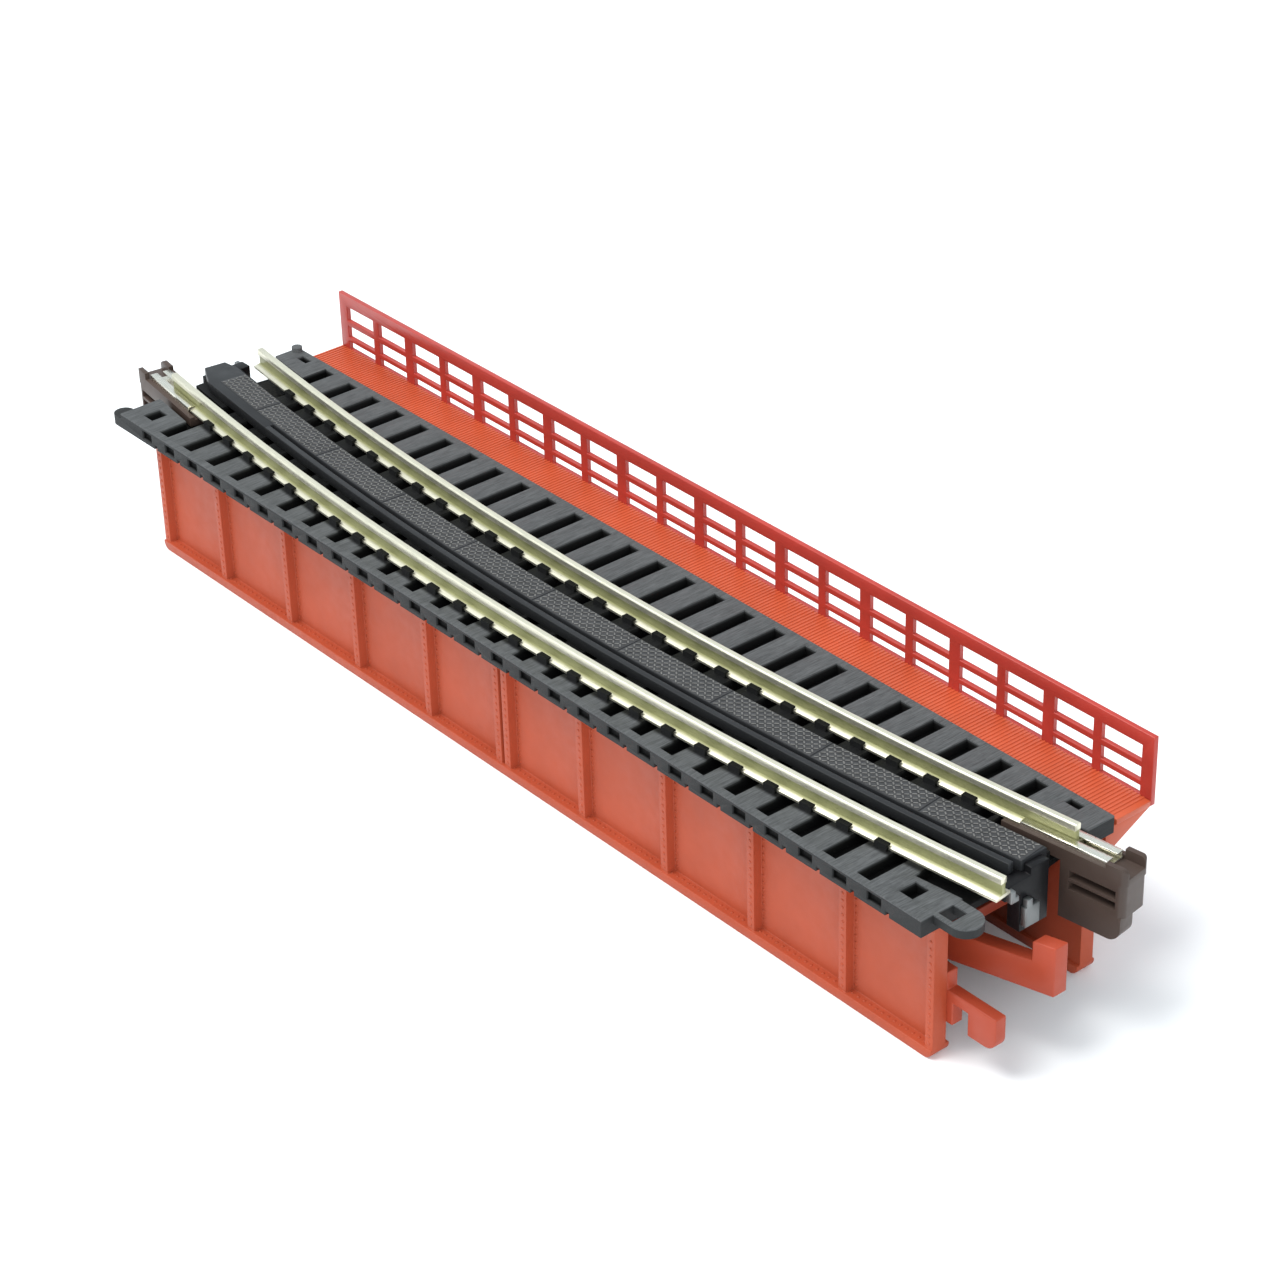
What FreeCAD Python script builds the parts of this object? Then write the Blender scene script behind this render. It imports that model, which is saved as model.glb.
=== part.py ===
import FreeCAD, Part
import math
import os

# Curved single-track deck bridge section for 9 mm gauge model railways.
# Units are millimetres. X runs along the chord of the curve, +Y points to the inside of the
# curve (the walkway side) and Z is up from the surface that the girders stand on.
# The origin is the middle of the chord that joins the rail ends, at the height of that surface.

# ---- track ----
gauge = 9.0
track_radius = 448.0
arc_angle = 15.0
rail_height = 2.03
head_width = 0.72
head_height = 0.65
web_width = 0.4
foot_width = 1.8
foot_height = 0.4
foot_edge_height = 0.25

# ---- tie deck ----
deck_top = 15.27
deck_thickness = 1.67
deck_floor_thickness = 0.55
deck_outside_track = 7.92
deck_inside_chord = 10.0
deck_edge_width = 0.75
deck_past_left_end = 0.225
deck_short_of_right_end = 1.475
tie_pitch = 4.062
tie_width = 2.45
first_gap_x = 0.85
solid_end_length = 6.2
small_hole_length = 0.8
near_hole_length = 1.9
tie_end_depth = 0.35
tie_end_height = 0.95
tie_end_width = 1.7
drain_width = 0.45
tongue_length = 3.6
tongue_width = 3.0
tongue_thickness = 0.9
tongue_gap_to_edge = 1.3
tongue_slot_offset = 0.9
short_tongue_length = 2.1
short_tongue_width = 2.1
short_tongue_drop = 0.6
knob_radius = 0.55
knob_height = 0.5

# ---- rail chairs, on every tie that the rails cross ----
chair_length = 1.3
chair_wall = 0.28
chair_lip = 0.28
chair_lip_thickness = 0.16
chair_clearance = 0.03
chair_root = 0.2

# ---- pocket in the deck below each rail end, where a joiner slides on ----
pocket_side_clearance = 0.55
pocket_end_clearance = 0.7
pocket_floor_clearance = 0.2

# ---- raised footplate between the rails ----
panel_height = 1.03
panel_to_inside = 1.76
panel_to_outside = 1.14
panel_past_left_end = 1.1
panel_short_of_right_end = 0.975
guard_gap = 0.4
guard_width = 0.6
guard_short_of_right_end = 1.6
nose_length = 14.0
nose_taper_length = 2.4
nose_inner_taper_length = 1.0
nose_overcut = 0.05
nose_to_inside = 1.27
nose_to_outside = 1.04

# ---- end block and its two contact fingers at each end of the footplate ----
block_length = 1.4
block_outer_y = -3.9
block_step_y = -2.2
block_inner_y = 1.0
block_outer_depth = 1.3
block_depth = 5.0
block_top_height = 0.72
finger_thickness = 0.6
outer_stem_y = (-3.8, -3.3)
outer_toe_y = (-3.8, -2.9)
outer_finger_drops = (0.1, 1.25)
outer_toe_height = 0.5
inner_stem_y = (-1.9, -1.3)
inner_toe_y = (-2.1, -0.5)
inner_finger_drops = (1.75, 4.35)
inner_toe_height = 1.9

# ---- plate girders ----
girder_short_of_rail_ends = 2.125
girder_outside_track = 5.91
girder_inside_chord = 9.2
flange_width = 2.07
flange_thickness = 0.95
flange_corner = 0.8
web_recess = 1.1
web_thickness = 0.6
rib_width = 0.9
rib_setback = 0.2
rib_pitch_extra = 0.13
ribs_each_side = 4
end_rib_inset = 0.45
splice_half_gap = 0.65

# ---- frames that tie the two girders together ----
bulkhead_thickness = 1.2
end_frame_length = 10.2
shelf_inset = 4.5
shelf_thickness = 1.1
shelf_below_deck_top = 7.27
arm_reach = 6.3
arm_outer_y = -2.4
arm_width = 1.5
arm_slant = 0.29
arm_above_shelf = 1.1
arm_depth = 2.9
latch_length = 2.0
latch_height = 1.9
tab_reach = 5.5
tab_thickness = 1.2
tab_below_shelf = 1.7
tab_height = 3.25
tab_corner = 1.2
notch_start = 0.65
notch_length = 1.7
notch_height = 2.2
cross_frame_ribs = 2
cross_frame_thickness = 1.2
cross_frame_leg = 2.4
cross_frame_rail = 1.3

# ---- walkway and railing ----
walkway_below_deck_top = 0.52
walkway_thickness = 0.55
walkway_gap = 0.3
walkway_width = 4.05
railing_thickness = 0.5
railing_height = 6.15
bays = 20
main_post_width = 1.3
light_post_width = 0.95
railing_rows = ((0.0, 0.9), (1.35, 2.7), (3.25, 4.85))
bracket_thickness = 1.1
bracket_tip_depth = 0.1
bracket_slope = 0.5
bracket_clearance = 0.05

# ---- rail joiners ----
clip_clearance = 0.05
clip_thickness = 0.15
clip_inner_end = 5.0
clip_outer_end = 3.7
clip_slot_half = 0.3
shell_wall = 0.5
shell_floor = 0.65
shell_inner_end = 6.5
shell_outer_end = 5.9
shell_corner = 0.55
outer_wall_top = 0.1
inner_wall_top = 0.3
cheek_gap = 0.2
cheek_top = 0.75
keel_start = 0.5
keel_end = 5.8
keel_height = 3.1
keel_side_corner = 0.6
keel_groove_start = 0.4
keel_groove_end = 5.0
keel_groove_height = 0.75
keel_groove_depth = 0.9
keel_groove_levels = (1.4, 2.45)
heel_end = 5.6
heel_height = 2.4
heel_inner_y = 0.1
heel_corner = 1.3

# ---- sizes worked out from the ones above ----
half_angle = arc_angle / 2
centre_y = track_radius * math.cos(math.radians(half_angle))
half_chord = track_radius * math.sin(math.radians(half_angle))
arc_height = track_radius - centre_y
rail_offset = (gauge + head_width) / 2
deck_bottom = deck_top - deck_thickness
deck_outer_y = -arc_height - deck_outside_track
deck_inner_y = deck_inside_chord
deck_left_x = -half_chord - deck_past_left_end
deck_right_x = half_chord - deck_short_of_right_end
deck_edge_outer = deck_outer_y + deck_edge_width
deck_edge_inner = deck_inner_y - deck_edge_width
gap_width = tie_pitch - tie_width
girder_outer_y = -arc_height - girder_outside_track
girder_inner_y = girder_inside_chord
web_outer_y = girder_outer_y + web_recess
web_inner_y = girder_inner_y - web_recess
panel_top = deck_top + panel_height
panel_right_x = half_chord - panel_short_of_right_end
girder_end = half_chord - girder_short_of_rail_ends
bay_length = 2 * girder_end / bays
rib_pitch = girder_end / (ribs_each_side + 1) + rib_pitch_extra
web_outer_back = web_outer_y + web_thickness
web_inner_back = web_inner_y - web_thickness
flange_outer_edge = girder_outer_y + flange_width
flange_inner_edge = girder_inner_y - flange_width
frame_centre_y = (girder_outer_y + girder_inner_y) / 2
under_flange = deck_bottom - flange_thickness
shelf_top = deck_top - shelf_below_deck_top
tab_top = shelf_top - tab_below_shelf
tab_bottom = tab_top - tab_height
panel_inside = track_radius - panel_to_inside
panel_outside = track_radius + panel_to_outside
guard_inside = panel_outside + guard_gap
guard_outside = guard_inside + guard_width
walkway_top = deck_top - walkway_below_deck_top
walkway_bottom = walkway_top - walkway_thickness
walkway_near_y = deck_inner_y + walkway_gap
railing_y = walkway_near_y + walkway_width
railing_top = walkway_top + railing_height
clip_inside = foot_width / 2 + clip_clearance
clip_outside = clip_inside + clip_thickness
shell_outside = clip_outside + shell_wall
pocket_half_width = shell_outside + pocket_side_clearance
pocket_depth = shell_inner_end + pocket_end_clearance
shell_bottom = -(clip_clearance + clip_thickness + shell_floor)


def box(x0, x1, y0, y1, z0, z1):
    """A block between two opposite corners."""
    corner = FreeCAD.Vector(min(x0, x1), min(y0, y1), min(z0, z1))
    return Part.makeBox(abs(x1 - x0), abs(y1 - y0), abs(z1 - z0), corner)


def face_of(points):
    """A flat face whose outline joins the points in order."""
    corners = [FreeCAD.Vector(*point) for point in points]
    return Part.Face(Part.makePolygon(corners + corners[:1]))


def plate_along_x(outline, x0, x1):
    """An outline of (y, z) points made solid from x0 to x1."""
    return face_of([(x0, y, z) for y, z in outline]).extrude(FreeCAD.Vector(x1 - x0, 0, 0))


def plate_along_z(outline, z0, z1):
    """An outline of (x, y) points made solid from z0 to z1."""
    return face_of([(x, y, z0) for x, y in outline]).extrude(FreeCAD.Vector(0, 0, z1 - z0))


def point_on_arc(radius, angle):
    """The place on a circle about the curve's centre, at an angle from the middle."""
    turn = math.radians(angle)
    return radius * math.sin(turn), centre_y - radius * math.cos(turn)


def angle_short_of_end(length):
    """The angle from the middle to a place that is this far short of the track's end."""
    return half_angle - math.degrees(length / track_radius)


def bar_on_arc(section, start_angle, end_angle):
    """A section of (radius, z) points swept round the curve's centre."""
    outline = []
    for radius, z in section:
        x, y = point_on_arc(radius, start_angle)
        outline.append((x, y, z))
    centre = FreeCAD.Vector(0, centre_y, 0)
    return face_of(outline).revolve(centre, FreeCAD.Vector(0, 0, 1), end_angle - start_angle)


def fused(shapes):
    """One shape from several that touch or overlap."""
    return shapes[0].multiFuse(shapes[1:]).removeSplitter()


def placed_at_rail_end(shape, radius, side):
    """Move a shape from a rail end's own frame, x outwards and z up from the rail's foot."""
    x, y = point_on_arc(radius, side * half_angle)
    turn = half_angle if side > 0 else 180 - half_angle
    moved = shape.copy()
    moved.rotate(FreeCAD.Vector(0, 0, 0), FreeCAD.Vector(0, 0, 1), turn)
    moved.translate(FreeCAD.Vector(x, y, deck_top))
    return moved


def turned_half_way(shape):
    """A copy turned half a turn about the middle of the girders."""
    copy = shape.copy()
    copy.rotate(FreeCAD.Vector(0, frame_centre_y, 0), FreeCAD.Vector(0, 0, 1), 180)
    return copy


# ---- rails ----

def rail_section(radius):
    """Flat-bottomed rail: foot with sloping top, thin web and head with chamfered corners."""
    half_foot = foot_width / 2
    half_web = web_width / 2
    half_head = head_width / 2
    corner = head_width / 6
    head_bottom = rail_height - head_height
    side = [
        (half_foot, 0),
        (half_foot, foot_edge_height),
        (half_web, foot_height),
        (half_web, head_bottom - corner),
        (half_head, head_bottom),
        (half_head, rail_height - corner),
        (half_head - corner, rail_height),
    ]
    other_side = [(-across, up) for across, up in reversed(side)]
    return [(radius + across, deck_top + up) for across, up in side + other_side]


def rail(radius):
    return bar_on_arc(rail_section(radius), -half_angle, half_angle)


# ---- tie deck ----

def gap_centre(index):
    return first_gap_x + index * tie_pitch


def deck_gap(index, y0, y1):
    """The cut between two ties, down to the deck's floor."""
    middle = gap_centre(index)
    floor_top = deck_bottom + deck_floor_thickness
    return box(middle - gap_width / 2, middle + gap_width / 2, y0, y1, floor_top, deck_top + 1)


def gap_indices():
    """Every gap that fits on the deck, counted from the one nearest the middle."""
    lowest = math.ceil((deck_left_x + tie_pitch / 2 - first_gap_x) / tie_pitch)
    highest = math.floor((deck_right_x - tie_pitch / 2 - first_gap_x) / tie_pitch)
    return range(lowest, highest + 1)


def deck_gaps():
    """Cuts between the ties: whole ones along the deck and short ones in its solid ends."""
    cuts = []
    for index in gap_indices():
        middle = gap_centre(index)
        from_left = middle - deck_left_x
        from_right = deck_right_x - middle
        if min(from_left, from_right) > solid_end_length:
            cuts.append(deck_gap(index, deck_edge_outer, deck_edge_inner))
        else:
            cuts.append(deck_gap(index, deck_edge_outer + deck_edge_width,
                                 deck_edge_outer + deck_edge_width + near_hole_length))
            cuts.append(deck_gap(index, deck_edge_inner - small_hole_length, deck_edge_inner))
    return cuts


def tie_end_cuts():
    """A shallow window in the outer edge at each tie's end, with a drain notch beside it."""
    cuts = []
    window_top = deck_top - 0.35
    for index in list(gap_indices())[:-1]:
        middle = gap_centre(index) + tie_pitch / 2
        left = middle - tie_end_width / 2
        right = middle + tie_end_width / 2
        for edge, inward in ((deck_outer_y, 1), (deck_inner_y, -1)):
            deep = edge + inward * tie_end_depth
            cuts.append(box(left, right, edge - inward, deep,
                            window_top - tie_end_height, window_top))
            cuts.append(box(right + drain_width, right + 2 * drain_width, edge - inward, deep,
                            deck_bottom - 1, deck_bottom + drain_width))
    return cuts


def tongue():
    """Long tongue at the right end beside the outer edge, with its slot and round tip."""
    outer = deck_outer_y + tongue_gap_to_edge
    inner = outer + tongue_width
    radius = tongue_width / 2
    straight_end = deck_right_x + tongue_length - radius
    bottom = deck_top - tongue_thickness
    tip = Part.makeCylinder(radius, tongue_thickness,
                            FreeCAD.Vector(straight_end, outer + radius, bottom))
    plate = box(deck_right_x - 1, straight_end, outer, inner, bottom, deck_top)
    slot_middle = deck_right_x + tongue_slot_offset
    slot = box(slot_middle - gap_width / 2, slot_middle + gap_width / 2,
               outer + 0.45, inner - 0.9, bottom - 1, deck_top + 1)
    return fused([plate, tip]).cut(slot)


def short_tongue():
    """Lower, shorter tongue at the left end that the next section's long tongue lies beside."""
    outer = deck_outer_y
    inner = outer + short_tongue_width
    radius = short_tongue_width / 2
    top = deck_top - short_tongue_drop
    straight_end = deck_left_x - short_tongue_length + radius
    tip = Part.makeCylinder(radius, top - deck_bottom,
                            FreeCAD.Vector(straight_end, outer + radius, deck_bottom))
    plate = box(straight_end, deck_left_x + 1, outer, inner, deck_bottom, top)
    return fused([plate, tip])


def joiner_pocket(radius, side):
    """Room at a rail end for a joiner, open at the deck's end and floored behind the keel."""
    far = 2 * tongue_length
    channel_room = box(-pocket_depth, far, -pocket_half_width, pocket_half_width,
                       shell_bottom - pocket_floor_clearance, 1)
    keel_room = box(-keel_start - pocket_end_clearance, far, -pocket_half_width,
                    pocket_half_width, -deck_thickness - 1, 1)
    return placed_at_rail_end(fused([channel_room, keel_room]), radius, side)


def chair_pair():
    """Two lips that hold the rail's foot, about the rail's centre line at the origin."""
    wall_inside = foot_width / 2 + chair_clearance
    lip_bottom = foot_height + chair_clearance
    lip_top = lip_bottom + chair_lip_thickness
    outline = [
        (wall_inside, -chair_root),
        (wall_inside + chair_wall, -chair_root),
        (wall_inside + chair_wall, lip_top),
        (wall_inside - chair_lip, lip_top),
        (wall_inside - chair_lip, lip_bottom),
        (wall_inside, lip_bottom),
    ]
    right = plate_along_x(outline, -chair_length / 2, chair_length / 2)
    left = right.mirror(FreeCAD.Vector(0, 0, 0), FreeCAD.Vector(0, 1, 0))
    return right, left


def chairs(radius):
    """A pair of lips on every tie that stands clear of the joiner pockets."""
    lips = []
    pocket_reach = (pocket_depth + chair_length / 2 + chair_clearance) / radius
    last_angle = half_angle - math.degrees(pocket_reach)
    for index in gap_indices():
        tie_x = gap_centre(index) + tie_pitch / 2
        angle = math.degrees(math.asin(tie_x / radius))
        if abs(angle) > last_angle:
            continue
        x, y = point_on_arc(radius, angle)
        for lip in chair_pair():
            lip.rotate(FreeCAD.Vector(0, 0, 0), FreeCAD.Vector(0, 0, 1), angle)
            lip.translate(FreeCAD.Vector(x, y, deck_top))
            lips.append(lip)
    return lips


def tie_deck(outer_radius, inner_radius):
    """The moulded deck: ties between two edge strips, tongues, pockets and rail chairs."""
    slab = box(deck_left_x, deck_right_x, deck_outer_y, deck_inner_y, deck_bottom, deck_top)
    cuts = deck_gaps() + tie_end_cuts()
    for radius in (outer_radius, inner_radius):
        for side in (-1, 1):
            cuts.append(joiner_pocket(radius, side))
    deck = slab.cut(cuts)
    knob = Part.makeCylinder(knob_radius, knob_height + chair_root, FreeCAD.Vector(
        deck_left_x + knob_radius, deck_inner_y - knob_radius, deck_top - chair_root))
    additions = [tongue(), short_tongue(), knob]
    additions += chairs(outer_radius) + chairs(inner_radius)
    return deck.multiFuse(additions).removeSplitter()


# ---- footplate, guard rail and what hangs from their ends ----

def raised_bar(inside, outside, start_angle, end_angle):
    """A bar of the footplate's height that follows the curve between two radii."""
    section = [(inside, deck_top), (outside, deck_top), (outside, panel_top), (inside, panel_top)]
    return bar_on_arc(section, start_angle, end_angle)


def nose_wedge(base_x, base_y, tip_y, beyond):
    """What is cut from one side of the nose, from its base to beyond its tip."""
    slope = (tip_y - base_y) / (panel_past_left_end - base_x)
    far_x = panel_past_left_end + 1
    far_y = base_y + slope * (far_x - base_x)
    outline = [(base_x, base_y), (far_x, far_y), (far_x, beyond), (base_x, beyond)]
    wedge = plate_along_z(outline, -1, panel_height + 1)
    return placed_at_rail_end(wedge, track_radius, -1)


def footplate():
    """Raised plate that follows the curve; its left end is a nose that takes in the guard."""
    tip_angle = -angle_short_of_end(-panel_past_left_end)
    base_angle = -angle_short_of_end(nose_length)
    nose = raised_bar(panel_inside, guard_outside, tip_angle, base_angle)
    guard_offset = guard_outside - track_radius
    outer_wedge = nose_wedge(-nose_taper_length, guard_offset + nose_overcut,
                             nose_to_outside, guard_offset + 2)
    inner_wedge = nose_wedge(-nose_inner_taper_length, -panel_to_inside - nose_overcut,
                             -nose_to_inside, -panel_to_inside - 2)
    plate = raised_bar(panel_inside, panel_outside, base_angle, half_angle)
    beyond_end = box(panel_right_x, panel_right_x + 20, -20, 20, deck_top - 1, panel_top + 1)
    return fused([nose.cut([outer_wedge, inner_wedge]), plate.cut(beyond_end)])


def guard_rail():
    """Narrow strip beside the footplate, from the nose to the deck's right end."""
    return raised_bar(guard_inside, guard_outside, -angle_short_of_end(nose_length),
                      angle_short_of_end(guard_short_of_right_end))


def end_block(end_x, outwards):
    """Stepped block that closes the deck's end below the footplate and carries the fingers."""
    outer_face = end_x + outwards * block_length
    shallow = box(end_x, outer_face, outwards * block_outer_y, outwards * block_step_y,
                  deck_top - block_outer_depth, deck_top)
    deep = box(end_x, outer_face, outwards * block_step_y, outwards * block_inner_y,
               deck_top - block_depth, deck_top)
    return fused([shallow, deep])


def raised_end_block():
    """The right end block, which also stands up against the end of the footplate."""
    block = end_block(deck_right_x, 1)
    lug = box(panel_right_x, deck_right_x + block_length, -block_inner_y, block_inner_y,
              deck_top - block_top_height, deck_top + block_top_height)
    return fused([block, lug])


def contact_finger(face_x, outwards, stem_y, toe_y, drops, toe_height):
    """A metal strip on the face of an end block, with a wider toe at the bottom."""
    tip_x = face_x + outwards * finger_thickness
    top = deck_top - drops[0]
    bottom = deck_top - drops[1]
    stem = box(face_x, tip_x, outwards * stem_y[0], outwards * stem_y[1], bottom, top)
    toe = box(face_x, tip_x, outwards * toe_y[0], outwards * toe_y[1], bottom,
              bottom + toe_height)
    return fused([stem, toe])


def contact_fingers(end_x, outwards):
    face_x = end_x + outwards * block_length
    outer = contact_finger(face_x, outwards, outer_stem_y, outer_toe_y, outer_finger_drops,
                           outer_toe_height)
    inner = contact_finger(face_x, outwards, inner_stem_y, inner_toe_y, inner_finger_drops,
                           inner_toe_height)
    return Part.makeCompound([outer, inner])


# ---- girders ----

def rib_places():
    """Stiffener centres along a girder: a double one in the middle and one at each end."""
    places = [-splice_half_gap, splice_half_gap]
    for index in range(1, ribs_each_side + 1):
        places += [-index * rib_pitch, index * rib_pitch]
    return places + [-girder_end + end_rib_inset, girder_end - end_rib_inset]


def girder(face_y, inward):
    """Plate girder: web between two flanges, with stiffeners on its outer side."""
    flange_y = face_y + inward * flange_width
    web_y = face_y + inward * web_recess
    web_back = web_y + inward * web_thickness
    bottom_flange = box(-girder_end, girder_end, face_y, flange_y, 0, flange_thickness)
    corners = [edge for edge in bottom_flange.Edges if is_flange_end(edge)]
    bottom_flange = bottom_flange.makeFillet(flange_corner, corners)
    top_flange = box(-girder_end, girder_end, face_y, flange_y, under_flange, deck_bottom)
    web = box(-girder_end, girder_end, web_y, web_back, flange_corner, deck_bottom)
    pieces = [web, bottom_flange, top_flange]
    for x in rib_places():
        pieces.append(box(x - rib_width / 2, x + rib_width / 2, face_y + inward * rib_setback,
                          web_back, flange_corner, deck_bottom))
    return fused(pieces)


def is_flange_end(edge):
    """True for the bottom edges that run across the ends of a flange."""
    bounds = edge.BoundBox
    return bounds.ZMax < 1e-6 and bounds.XLength < 1e-6


# ---- frames between the girders ----

def between_girders(x0, x1, z0):
    """Plate across the bridge that reaches up to the deck between the top flanges."""
    lower = box(x0, x1, web_outer_back, web_inner_back, z0, under_flange)
    upper = box(x0, x1, flange_outer_edge, flange_inner_edge, z0, deck_bottom)
    return fused([lower, upper])


def end_tab():
    """Flat tab along the outer girder that reaches past the end, with a notch below."""
    outer = web_outer_back
    inner = outer + tab_thickness
    tip = girder_end + tab_reach
    plate = box(girder_end - end_frame_length, tip, outer, inner, tab_bottom, tab_top)
    plate = plate.makeFillet(tab_corner, edges_across(plate, tip, tab_bottom))
    notch_x = girder_end + notch_start
    notch = box(notch_x, notch_x + notch_length, outer - 1, inner + 1,
                tab_bottom - 1, tab_bottom + notch_height)
    hanger = box(girder_end - end_frame_length, girder_end, outer, inner, tab_top, shelf_top)
    return fused([plate.cut(notch), hanger])


def slanted_bar(x0, x1, z0, z1):
    """A length of the latch arm, which runs in towards the outer girder from its tip."""
    tip = girder_end + arm_reach
    y0 = arm_outer_y - arm_slant * (tip - x0)
    y1 = arm_outer_y - arm_slant * (tip - x1)
    return plate_along_z([(x0, y0), (x1, y1), (x1, y1 + arm_width), (x0, y0 + arm_width)], z0, z1)


def end_frame():
    """Right end frame: set-back bulkhead and shelf, slanted arm with its latch, and the tab."""
    start = girder_end - end_frame_length
    bulkhead = between_girders(start, start + bulkhead_thickness, shelf_top - shelf_thickness)
    shelf = box(start, girder_end - shelf_inset, web_outer_back, web_inner_back,
                shelf_top - shelf_thickness, shelf_top)
    tip = girder_end + arm_reach
    arm_top = shelf_top + arm_above_shelf
    arm = slanted_bar(start, tip, arm_top - arm_depth, arm_top)
    latch = slanted_bar(tip - latch_length, tip, arm_top, arm_top + latch_height)
    return fused([bulkhead, shelf, arm, latch, end_tab()])


def cross_frame(x):
    """Closed frame between the girders: top rail, two legs and a bottom strap."""
    x0 = x - cross_frame_thickness / 2
    x1 = x + cross_frame_thickness / 2
    outer = web_outer_back
    inner = web_inner_back
    top_rail = between_girders(x0, x1, under_flange - cross_frame_rail)
    outer_leg = box(x0, x1, outer, outer + cross_frame_leg, flange_thickness, under_flange)
    inner_leg = box(x0, x1, inner - cross_frame_leg, inner, flange_thickness, under_flange)
    strap = box(x0, x1, flange_outer_edge, flange_inner_edge, 0, cross_frame_rail)
    return fused([top_rail, outer_leg, inner_leg, strap])


# ---- walkway ----

def walkway_plate():
    half = girder_end + main_post_width / 2
    return box(-half, half, walkway_near_y, railing_y, walkway_bottom, walkway_top)


def railing():
    """Flat railing with main and light posts, three rows of openings and a top rail."""
    half = girder_end + main_post_width / 2
    back_y = railing_y + railing_thickness
    plate = box(-half, half, railing_y, back_y, walkway_bottom, railing_top)
    openings = []
    for bay in range(bays):
        left_is_main = bay % 2 == 0
        left_width = main_post_width if left_is_main else light_post_width
        right_width = light_post_width if left_is_main else main_post_width
        left = -girder_end + bay * bay_length
        x0 = left + left_width / 2
        x1 = left + bay_length - right_width / 2
        for low, high in railing_rows:
            openings.append(box(x0, x1, railing_y - 1, back_y + 1,
                                walkway_top + low, walkway_top + high))
    return plate.cut(openings)


def walkway_bracket(x):
    """Tapered cantilever from the inner girder out to the railing."""
    root = girder_inner_y
    tip = railing_y
    step = deck_inner_y + bracket_clearance
    tip_bottom = walkway_bottom - bracket_tip_depth
    root_bottom = tip_bottom - (tip - root) * bracket_slope
    outline = [
        (root, root_bottom),
        (tip, tip_bottom),
        (tip, walkway_bottom),
        (step, walkway_bottom),
        (step, deck_bottom),
        (root, deck_bottom),
    ]
    return plate_along_x(outline, x - bracket_thickness / 2, x + bracket_thickness / 2)


def bracket_places():
    """One bracket below every main post."""
    return [-girder_end + index * 2 * bay_length for index in range(bays // 2 + 1)]


# ---- rail joiners ----

def joiner_clip():
    """Sheet-metal channel that grips the rail's foot, in the rail end's own frame."""
    lip_bottom = foot_height + clip_clearance
    lip_top = lip_bottom + clip_thickness
    base = -clip_clearance
    outline = [
        (-clip_outside, base - clip_thickness),
        (clip_outside, base - clip_thickness),
        (clip_outside, lip_top),
        (clip_slot_half, lip_top),
        (clip_slot_half, lip_bottom),
        (clip_inside, lip_bottom),
        (clip_inside, base),
        (-clip_inside, base),
        (-clip_inside, lip_bottom),
        (-clip_slot_half, lip_bottom),
        (-clip_slot_half, lip_top),
        (-clip_outside, lip_top),
    ]
    return plate_along_x(outline, -clip_inner_end, clip_outer_end)


def joiner_channel():
    """The shell's trough for the clip; past the clip its walls rise to rounded cheeks."""
    whole = box(-shell_inner_end, shell_outer_end, -shell_outside, shell_outside,
                shell_bottom, cheek_top)
    corners = edges_across(whole, shell_outer_end, cheek_top)
    corners += upright_edges(whole, shell_outer_end)
    whole = whole.makeFillet(shell_corner, corners)
    back = -shell_inner_end - 1
    cheek_start = clip_outer_end + cheek_gap
    trough = box(back, shell_outer_end + 1, -clip_outside, clip_outside,
                 -clip_clearance - clip_thickness, cheek_top + 1)
    above_outer_wall = box(back, cheek_start, 0, shell_outside + 1, outer_wall_top, cheek_top + 1)
    above_inner_wall = box(back, cheek_start, -shell_outside - 1, 0, inner_wall_top,
                           cheek_top + 1)
    return whole.cut([trough, above_outer_wall, above_inner_wall])


def joiner_keel():
    """Keel below the channel, with two wide grooves along each side and rounded outer corners."""
    bottom = shell_bottom - keel_height
    keel = box(-keel_start, keel_end, -shell_outside, shell_outside, bottom, shell_bottom)
    keel = keel.makeFillet(keel_side_corner, upright_edges(keel, keel_end))
    grooves = []
    for level in keel_groove_levels:
        z0 = shell_bottom - level
        for side in (-1, 1):
            grooves.append(box(keel_groove_start, keel_groove_end,
                               side * (shell_outside - keel_groove_depth),
                               side * (shell_outside + 1), z0, z0 + keel_groove_height))
    return keel.cut(grooves)


def joiner_shell():
    """Plastic joiner body: channel round the clip, grooved keel and a heel on one side."""
    heel_top = shell_bottom - keel_height
    heel_bottom = heel_top - heel_height
    heel = box(-keel_start, heel_end, -shell_outside, heel_inner_y, heel_bottom, heel_top)
    heel = heel.makeFillet(heel_corner, edges_across(heel, heel_end, heel_bottom))
    return fused([joiner_channel(), joiner_keel(), heel])


def upright_edges(block, x):
    """The two upright edges at one end of a block."""
    chosen = []
    for edge in block.Edges:
        bounds = edge.BoundBox
        at_end = abs(bounds.XMin - x) < 1e-6 and abs(bounds.XMax - x) < 1e-6
        if at_end and bounds.YLength < 1e-6:
            chosen.append(edge)
    return chosen


def edges_across(block, x, z):
    """The edge of a block that runs across it at a given end and height."""
    chosen = []
    for edge in block.Edges:
        bounds = edge.BoundBox
        at_end = abs(bounds.XMin - x) < 1e-6 and abs(bounds.XMax - x) < 1e-6
        at_level = abs(bounds.ZMin - z) < 1e-6 and abs(bounds.ZMax - z) < 1e-6
        if at_end and at_level:
            chosen.append(edge)
    return chosen


# ---- the whole section ----

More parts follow.
